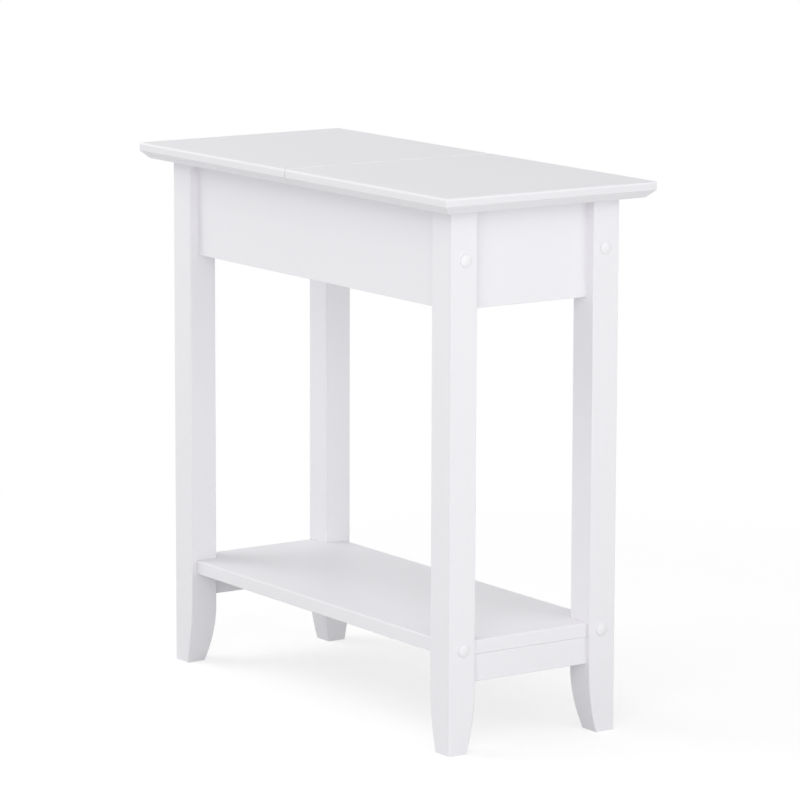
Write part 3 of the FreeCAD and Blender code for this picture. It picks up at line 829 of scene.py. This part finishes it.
@dataclass(frozen=True)
class Thread:
    """A screw thread, cut into a turned shank."""

    pitch: float
    depth: float
    rings: int = 6

    def heights(self, start: float, end: float) -> list[float]:
        """List the heights of the rings that a thread needs between two heights."""
        count = round((end - start) / self.pitch * self.rings)
        return [start + (end - start) * step / count for step in range(count + 1)]

    def cut(self, mesh: bpy.types.Mesh, radius: float, start: float, end: float) -> None:
        """Press the thread's hollows into the shank, fading in and out over a pitch.

        Args:
            mesh: The turned piece.
            radius: The shank's radius, which the crests keep.
            start: Where the thread starts.
            end: Where it ends.
        """
        work = bmesh.new()
        work.from_mesh(mesh)
        for vertex in work.verts:
            reach = math.hypot(vertex.co.x, vertex.co.y)
            if reach < radius / 2 or not start < vertex.co.z < end:
                continue
            turns = vertex.co.z / self.pitch - math.atan2(vertex.co.y, vertex.co.x) / math.tau
            hollow = 1 - abs(2 * (turns % 1.0) - 1)
            fade = min(1.0, (vertex.co.z - start) / self.pitch, (end - vertex.co.z) / self.pitch)
            share = 1 - self.depth * hollow * fade / reach
            vertex.co.x *= share
            vertex.co.y *= share
        bmesh.ops.recalc_face_normals(work, faces=work.faces)
        work.to_mesh(mesh)
        work.free()


@dataclass
class TurnedSet:
    """Like pieces, turned on a lathe, that stand for the solids of one CAD node."""

    node: str
    slot: Slot
    aim: Aim
    body: Body = Body.TABLE
    axis: Axis | None = None
    roll_step: float = 0.7
    segments: int = 32
    seats: list[Seat] = field(init=False)

    def __post_init__(self) -> None:
        """Find the seats in the frame."""
        self.seats = find_seats(self.node, self.aim, self.axis)

    def shape(self) -> bpy.types.Mesh:
        """Model one piece, with its head at the origin and its far end above it."""
        raise NotImplementedError

    def build(self, material: bpy.types.Material) -> bpy.types.Object:
        """Set a copy of the piece in each seat, as one object.

        Args:
            material: Its finish.

        Returns:
            The object, which rides on its body in place of the CAD node.
        """
        shape = self.shape()
        work = bmesh.new()
        for count, seat in enumerate(self.seats):
            copy = shape.copy()
            copy.transform(seat.matrix(count * self.roll_step))
            work.from_mesh(copy)
            bpy.data.meshes.remove(copy)
        mesh = bpy.data.meshes.new(f"{self.node}_detailed")
        work.to_mesh(mesh)
        work.free()
        mesh.materials.append(material)
        mesh.shade_smooth()
        mesh.set_sharp_from_angle(angle=SHARP_ANGLE)
        item = bpy.data.objects.new(f"{self.node}_detailed", mesh)
        bpy.context.scene.collection.objects.link(item)
        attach(item, self.body.value)
        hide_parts(self.node)
        log.info("made %s: %d pieces, %d faces", item.name, len(self.seats), len(mesh.polygons))
        return item


@dataclass
class BoltCaps(TurnedSet):
    """Domed push-in caps that cover the leg bolts."""

    rim_height: float = 0.0018
    rim_round: float = 0.0006
    stem_length: float = 0.003
    stem_radius: float = 0.0053
    stem_chamfer: float = 0.0006
    dome_steps: int = 12
    segments: int = 64

    def shape(self) -> bpy.types.Mesh:
        """Turn a cap: a dome with a rounded rim, over a stem that fits the counterbore."""
        seat = self.seats[0]
        radius = seat.width / 2
        shoulder = seat.length - self.stem_length
        top = dome(radius - self.rim_round, shoulder - self.rim_height, self.dome_steps)
        rim = corner(radius - self.rim_round, top[-1][1] + self.rim_round, self.rim_round)
        profile = [
            *top[:-1],
            *rim,
            (radius, shoulder),
            (self.stem_radius, shoulder),
            (self.stem_radius, seat.length - self.stem_chamfer),
            (self.stem_radius - self.stem_chamfer, seat.length),
            (0.0, seat.length),
        ]
        return turn(profile, self.segments)


@dataclass
class LegBolts(TurnedSet):
    """Socket-head bolts that hold the legs, threaded at the far end."""

    shank_radius: float = 0.003
    head_height: float = 0.005
    head_round: float = 0.0006
    socket_sides: int = 6
    socket_radius: float = 0.0023
    socket_depth: float = 0.003
    thread_length: float = 0.030
    tip_chamfer: float = 0.0007
    thread: Thread = Thread(pitch=0.001, depth=0.0005)

    def shape(self) -> bpy.types.Mesh:
        """Turn a bolt, cut its thread and sink its six-sided socket."""
        seat = self.seats[0]
        head = seat.width / 2
        start = seat.length - self.thread_length
        end = seat.length - self.tip_chamfer
        profile = [
            (0.0, 0.0),
            *corner(head - self.head_round, self.head_round, self.head_round),
            (head, self.head_height),
            (self.shank_radius, self.head_height),
            *[(self.shank_radius, height) for height in self.thread.heights(start, end)],
            (self.shank_radius - self.tip_chamfer, seat.length),
            (0.0, seat.length),
        ]
        bolt = turn(profile, self.segments)
        self.thread.cut(bolt, self.shank_radius, start, end)
        socket = prism(self.socket_sides, self.socket_radius, -self.socket_depth, self.socket_depth)
        return carve(bolt, socket)


@dataclass
class BarrelNuts(TurnedSet):
    """Cross-drilled barrel nuts, slotted on the end that shows."""

    hole_radius: float = 0.0031
    end_chamfer: float = 0.0005
    slot_width: float = 0.0012
    slot_depth: float = 0.0012
    roll_step: float = 0.0
    segments: int = 48

    def shape(self) -> bpy.types.Mesh:
        """Turn a nut, drill it across and saw its slot."""
        seat = self.seats[0]
        radius = seat.width / 2
        rim = radius - self.end_chamfer
        profile = [
            (0.0, 0.0),
            (rim, 0.0),
            (radius, self.end_chamfer),
            (radius, seat.length - self.end_chamfer),
            (rim, seat.length),
            (0.0, seat.length),
        ]
        drill = prism(self.segments, self.hole_radius, -seat.width, seat.width)
        across = Matrix.Rotation(math.pi / 2, 4, "Y")
        drill.transform(Matrix.Translation((0.0, 0.0, seat.length / 2)) @ across)
        saw = bar(2 * seat.width, self.slot_width, -self.slot_depth, self.slot_depth)
        return carve(carve(turn(profile, self.segments), drill), saw)


@dataclass
class Dowels(TurnedSet):
    """Fluted dowels with chamfered ends."""

    flutes: int = 12
    flute_depth: float = 0.0003
    end_chamfer: float = 0.001
    segments: int = 48

    def shape(self) -> bpy.types.Mesh:
        """Turn a dowel and press its flutes."""
        seat = self.seats[0]
        radius = seat.width / 2
        tip = radius - self.end_chamfer
        profile = [
            (0.0, 0.0),
            (tip, 0.0),
            (radius, self.end_chamfer),
            (radius, seat.length - self.end_chamfer),
            (tip, seat.length),
            (0.0, seat.length),
        ]
        dowel = turn(profile, self.segments)
        for vertex in dowel.vertices:
            reach = math.hypot(vertex.co.x, vertex.co.y)
            if reach > tip + WELD:
                angle = math.atan2(vertex.co.y, vertex.co.x)
                share = 1 - self.flute_depth / reach * max(0.0, math.cos(self.flutes * angle))
                vertex.co.x *= share
                vertex.co.y *= share
        return dowel


@dataclass
class WoodScrews(TurnedSet):
    """Round-head wood screws with a cross recess."""

    shank_radius: float = 0.00175
    head_height: float = 0.002
    tip_length: float = 0.004
    neck_length: float = 0.003
    recess_share: float = 0.62
    arm_width: float = 0.0009
    recess_depth: float = 0.0013
    dome_steps: int = 8
    thread: Thread = Thread(pitch=0.0016, depth=0.0005)

    def shape(self) -> bpy.types.Mesh:
        """Turn a screw, cut its thread and sink its recess."""
        seat = self.seats[0]
        start = self.head_height + self.neck_length
        end = seat.length - self.tip_length
        profile = [
            *dome(seat.width / 2, self.head_height, self.dome_steps),
            (self.shank_radius, self.head_height),
            *[(self.shank_radius, height) for height in self.thread.heights(start, end)],
            (0.0, seat.length),
        ]
        screw = turn(profile, self.segments)
        self.thread.cut(screw, self.shank_radius, start, end)
        return cross_recess(screw, self.recess_share * seat.width / 2, self.arm_width, self.recess_depth)


@dataclass
class HingeScrews(TurnedSet):
    """Small countersunk screws with a cross recess, flush in the hinge leaves."""

    shank_radius: float = 0.00125
    tip_length: float = 0.003
    neck_length: float = 0.001
    head_rim: float = 0.0002
    recess_share: float = 0.66
    arm_width: float = 0.0007
    recess_depth: float = 0.0009
    thread: Thread = Thread(pitch=0.0011, depth=0.00035)

    def shape(self) -> bpy.types.Mesh:
        """Turn a screw, cut its thread and sink its recess."""
        seat = self.seats[0]
        head = seat.width / 2
        cone_end = head - self.shank_radius
        start = cone_end + self.neck_length
        end = seat.length - self.tip_length
        profile = [
            (0.0, 0.0),
            (head - self.head_rim, 0.0),
            (head - self.head_rim, self.head_rim),
            (self.shank_radius, cone_end),
            *[(self.shank_radius, height) for height in self.thread.heights(start, end)],
            (0.0, seat.length),
        ]
        screw = turn(profile, self.segments)
        self.thread.cut(screw, self.shank_radius, start, end)
        return cross_recess(screw, self.recess_share * head, self.arm_width, self.recess_depth)


@dataclass
class PaintedBoards:
    """Boards of one sub-assembly, all with their fibres along one axis."""

    nodes: tuple[str, ...]
    grain: Axis
    paint: SatinPaint = SatinPaint()

    def dress(self) -> None:
        """Paint each board."""
        for node in self.nodes:
            wear(node, self.paint.make(node, self.grain))


@dataclass
class LiftTop:
    """The two leaves of the top, with the hinges let into the seam between them."""

    paint: TopPaint = TopPaint()
    leaves: tuple[str, ...] = ("fixed_top", "lift_lid")
    hinges: tuple[str, ...] = ("front_hinge", "rear_hinge")
    coat: FineWhite = FineWhite("powder_coat", texture_size=0.0004, depth=0.000015, roughness=0.38)
    plating: PlatedSteel = PlatedSteel("nickel_plate", (0.72, 0.71, 0.69), (0.60, 0.59, 0.57), 0.30)

    def build(self) -> None:
        """Paint the leaves, coat the hinges and drive their screws."""
        PaintedBoards(self.leaves, Axis.X, self.paint).dress()
        coated = self.coat.make()
        nickel = self.plating.make(Axis.Y)
        for hinge in self.hinges:
            wear(f"{hinge}_fixed_leaf", coated)
            wear(f"{hinge}_lid_leaf", coated)
            wear(f"{hinge}_pin", nickel)
        HingeScrews("hinge_fixed_screws", Slot.HINGE, Aim.OUTWARD, Body.TABLE).build(nickel)
        HingeScrews("hinge_lid_screws", Slot.HINGE, Aim.OUTWARD, Body.LID).build(nickel)


@dataclass
class LegFrame:
    """Legs and aprons, with the bolts, nuts, caps and dowels that join them."""

    legs: PaintedBoards = field(
        default_factory=lambda: PaintedBoards(
            ("leg_front_left", "leg_front_right", "leg_rear_left", "leg_rear_right"), Axis.Z
        )
    )
    side_aprons: PaintedBoards = field(
        default_factory=lambda: PaintedBoards(("front_apron", "rear_apron"), Axis.X)
    )
    end_aprons: PaintedBoards = field(
        default_factory=lambda: PaintedBoards(("left_end_apron", "right_end_apron"), Axis.Y)
    )

    def build(self, zinc: bpy.types.Material, moulded: bpy.types.Material, wood: BareWood) -> None:
        """Paint the boards and set their fixings.

        Args:
            zinc: The finish of bolts and nuts.
            moulded: The finish of the caps.
            wood: The wood of the dowels.
        """
        for boards in (self.legs, self.side_aprons, self.end_aprons):
            boards.dress()
        for level in ("upper", "lower"):
            LegBolts(f"{level}_leg_bolts", Slot.ZINC, Aim.INWARD, axis=Axis.X).build(zinc)
            BoltCaps(f"{level}_bolt_caps", Slot.CAP, Aim.INWARD, axis=Axis.X).build(moulded)
        BarrelNuts("apron_barrel_nuts", Slot.ZINC, Aim.OUTWARD, axis=Axis.Y).build(zinc)
        along_x = wood.make("side_apron_dowels", Axis.X)
        along_y = wood.make("end_dowels", Axis.Y)
        Dowels("side_apron_dowels", Slot.BARE_WOOD, Aim.OUTWARD, axis=Axis.X).build(along_x)
        Dowels("end_apron_dowels", Slot.BARE_WOOD, Aim.OUTWARD, axis=Axis.Y).build(along_y)
        Dowels("rail_dowels", Slot.BARE_WOOD, Aim.OUTWARD, axis=Axis.Y).build(along_y)


@dataclass
class LowerShelf:
    """The shelf on its two rails, with its nuts and screws."""

    shelf: PaintedBoards = field(default_factory=lambda: PaintedBoards(("lower_shelf",), Axis.X))
    rails: PaintedBoards = field(
        default_factory=lambda: PaintedBoards(("left_shelf_rail", "right_shelf_rail"), Axis.Y)
    )

    def build(self, zinc: bpy.types.Material) -> None:
        """Paint the boards and set their fixings.

        Args:
            zinc: The finish of nuts and screws.
        """
        self.shelf.dress()
        self.rails.dress()
        BarrelNuts("shelf_barrel_nuts", Slot.ZINC, Aim.UP, axis=Axis.Z).build(zinc)
        WoodScrews("rail_screws", Slot.ZINC, Aim.UP, axis=Axis.Z).build(zinc)


@dataclass
class StorageBox:
    """The floor and divider under the top, and the cleats that hold the fixed leaf."""

    floor: PaintedBoards = field(default_factory=lambda: PaintedBoards(("compartment_floor",), Axis.X))
    divider: PaintedBoards = field(default_factory=lambda: PaintedBoards(("compartment_divider",), Axis.Y))
    side_cleats: tuple[str, ...] = ("front_cleat", "rear_cleat")
    end_cleat: str = "end_cleat"

    def build(self, zinc: bpy.types.Material, wood: BareWood) -> None:
        """Paint the boards and fix the cleats.

        Args:
            zinc: The finish of the screws.
            wood: The wood of the cleats.
        """
        self.floor.dress()
        self.divider.dress()
        side_wood = wood.make("side_cleats", Axis.X)
        for node in self.side_cleats:
            wear(node, side_wood)
        wear(self.end_cleat, wood.make(self.end_cleat, Axis.Y))
        WoodScrews("cleat_top_screws", Slot.ZINC, Aim.UP, axis=Axis.Z).build(zinc)
        WoodScrews("cleat_apron_screws", Slot.ZINC, Aim.OUTWARD).build(zinc)


@dataclass(frozen=True)
class Softbox:
    """A square studio lamp, aimed at the middle of the table."""

    name: str
    azimuth: float
    elevation: float
    power: float
    distance: float = 3.0
    width: float = 2.0

    def build(self, target: Vector) -> bpy.types.Object:
        """Hang the lamp.

        Args:
            target: What it is aimed at.

        Returns:
            The lamp.
        """
        lamp = bpy.data.lights.new(self.name, "AREA")
        lamp.shape = "SQUARE"
        lamp.size = self.width
        lamp.energy = self.power
        item = bpy.data.objects.new(self.name, lamp)
        back = bearing(self.azimuth, self.elevation)
        item.location = target + back * self.distance
        item.rotation_euler = (-back).to_track_quat("-Z", "Y").to_euler()
        item.visible_camera = False
        bpy.context.scene.collection.objects.link(item)
        return item


def bearing(azimuth: float, elevation: float) -> Vector:
    """Point from the table towards a bearing.

    Args:
        azimuth: Degrees round the table, where 0 is in front of it and 90 at its lifting end.
        elevation: Degrees above the floor.

    Returns:
        The unit vector.
    """
    turn_angle = math.radians(azimuth)
    rise = math.radians(elevation)
    level = math.cos(rise)
    return Vector((math.sin(turn_angle) * level, -math.cos(turn_angle) * level, math.sin(rise)))


@dataclass
class Studio:
    """The pale floor, the lamps, the white surround and the camera."""

    floor_width: float = 60.0
    floor_share: float = 0.75
    floor_seen_share: float = 0.50
    floor_glow: float = 0.60
    shadow_reach: float = 0.55
    white_from: float = 1.30
    ambient: float = 0.515
    target_height: float = 0.35
    lamps: tuple[Softbox, ...] = (
        Softbox("front_right", 50.0, 17.0, 26.5),
        Softbox("right_low", 88.0, 4.0, 6.3),
        Softbox("right_high", 90.0, 45.0, 5.4),
        Softbox("rear_right", 115.0, 8.0, 13.3),
        Softbox("front_left_low", -50.0, 12.0, 7.4),
        Softbox("front_left_high", -50.0, 40.0, 27.5),
    )
    lens: float = 198.58
    sensor: float = 36.0
    camera_place: tuple[float, float, float] = (4.0455, -2.7679, 1.1937)
    camera_azimuth: float = 55.468
    camera_elevation: float = 9.890
    camera_roll: float = 0.179

    def build(self) -> None:
        """Set up the whole studio."""
        self.lay_floor()
        self.surround()
        target = Vector((0.0, 0.0, self.target_height))
        for lamp in self.lamps:
            lamp.build(target)
        self.set_camera()
        bpy.context.scene.view_settings.view_transform = "Standard"

    @staticmethod
    def seen(graph: Graph) -> Value:
        """Tell rays that look at the background, straight or in a reflection, from rays that light."""
        kinds = ("Is Camera Ray", "Is Glossy Ray", "Is Transmission Ray")
        camera, glossy, through = [graph.add("ShaderNodeLightPath", output=kind) for kind in kinds]
        return camera.most(glossy).most(through)

    def lay_floor(self) -> None:
        """Lay a pale matt floor that looks white where it is lit and keeps the table's shadow."""
        work = bmesh.new()
        bmesh.ops.create_grid(work, x_segments=1, y_segments=1, size=self.floor_width / 2)
        mesh = bpy.data.meshes.new("floor")
        work.to_mesh(mesh)
        work.free()
        material, graph = new_material("pale_floor")
        matt = graph.add("ShaderNodeBsdfDiffuse", inputs={"Color": (*[self.floor_share] * 3, 1.0)})
        shadowed = graph.add("ShaderNodeBsdfDiffuse", inputs={"Color": (*[self.floor_seen_share] * 3, 1.0)})
        glow = graph.add("ShaderNodeEmission", inputs={"Strength": self.floor_glow})
        near = graph.add("ShaderNodeAddShader", inputs={0: shadowed, 1: glow})
        far = graph.add("ShaderNodeEmission", inputs={"Strength": 1.0})
        distance = graph.add("ShaderNodeVectorMath", {"operation": "LENGTH"}, {0: graph.place()}, "Value")
        away = distance.ease(self.shadow_reach, self.white_from)
        lit = graph.add("ShaderNodeMixShader", inputs={0: away, 1: near, 2: far})
        graph.finish(graph.add("ShaderNodeMixShader", inputs={0: self.seen(graph), 1: matt, 2: lit}))
        mesh.materials.append(material)
        floor = bpy.data.objects.new("floor", mesh)
        bpy.context.scene.collection.objects.link(floor)

    def surround(self) -> None:
        """Light the table evenly from all round, and show white behind it."""
        world = bpy.data.worlds.new("studio")
        bpy.context.scene.world = world
        world.use_nodes = True
        graph = Graph(world.node_tree)
        seen = self.seen(graph)
        strength = seen + (1 - seen) * self.ambient
        white = (1.0, 1.0, 1.0, 1.0)
        light = graph.add("ShaderNodeBackground", inputs={"Color": white, "Strength": strength})
        graph.add("ShaderNodeOutputWorld", inputs={"Surface": light})

    def set_camera(self) -> None:
        """Set the camera at the photograph's viewing angle."""
        camera = bpy.data.cameras.new("camera")
        camera.lens = self.lens
        camera.sensor_width = self.sensor
        item = bpy.data.objects.new("camera", camera)
        back = bearing(self.camera_azimuth, self.camera_elevation)
        right = Vector((0.0, 0.0, 1.0)).cross(back).normalized()
        upright = Matrix((right, back.cross(right), back)).transposed().to_4x4()
        roll = Matrix.Rotation(math.radians(self.camera_roll), 4, "Z")
        item.matrix_world = Matrix.Translation(self.camera_place) @ upright @ roll
        bpy.context.scene.collection.objects.link(item)
        bpy.context.scene.camera = item


def main() -> None:
    """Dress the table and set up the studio."""
    logging.basicConfig(level=logging.INFO, format="%(message)s")
    zinc = PlatedSteel("zinc_plate", (0.66, 0.67, 0.69), (0.52, 0.53, 0.55), 0.34).make(Axis.Z)
    moulded = FineWhite("moulded_white", texture_size=0.0006, depth=0.00001, roughness=0.30).make()
    wood = BareWood()
    LegFrame().build(zinc, moulded, wood)
    LowerShelf().build(zinc)
    StorageBox().build(zinc, wood)
    LiftTop().build()
    Studio().build()


if __name__ == "__main__":
    main()
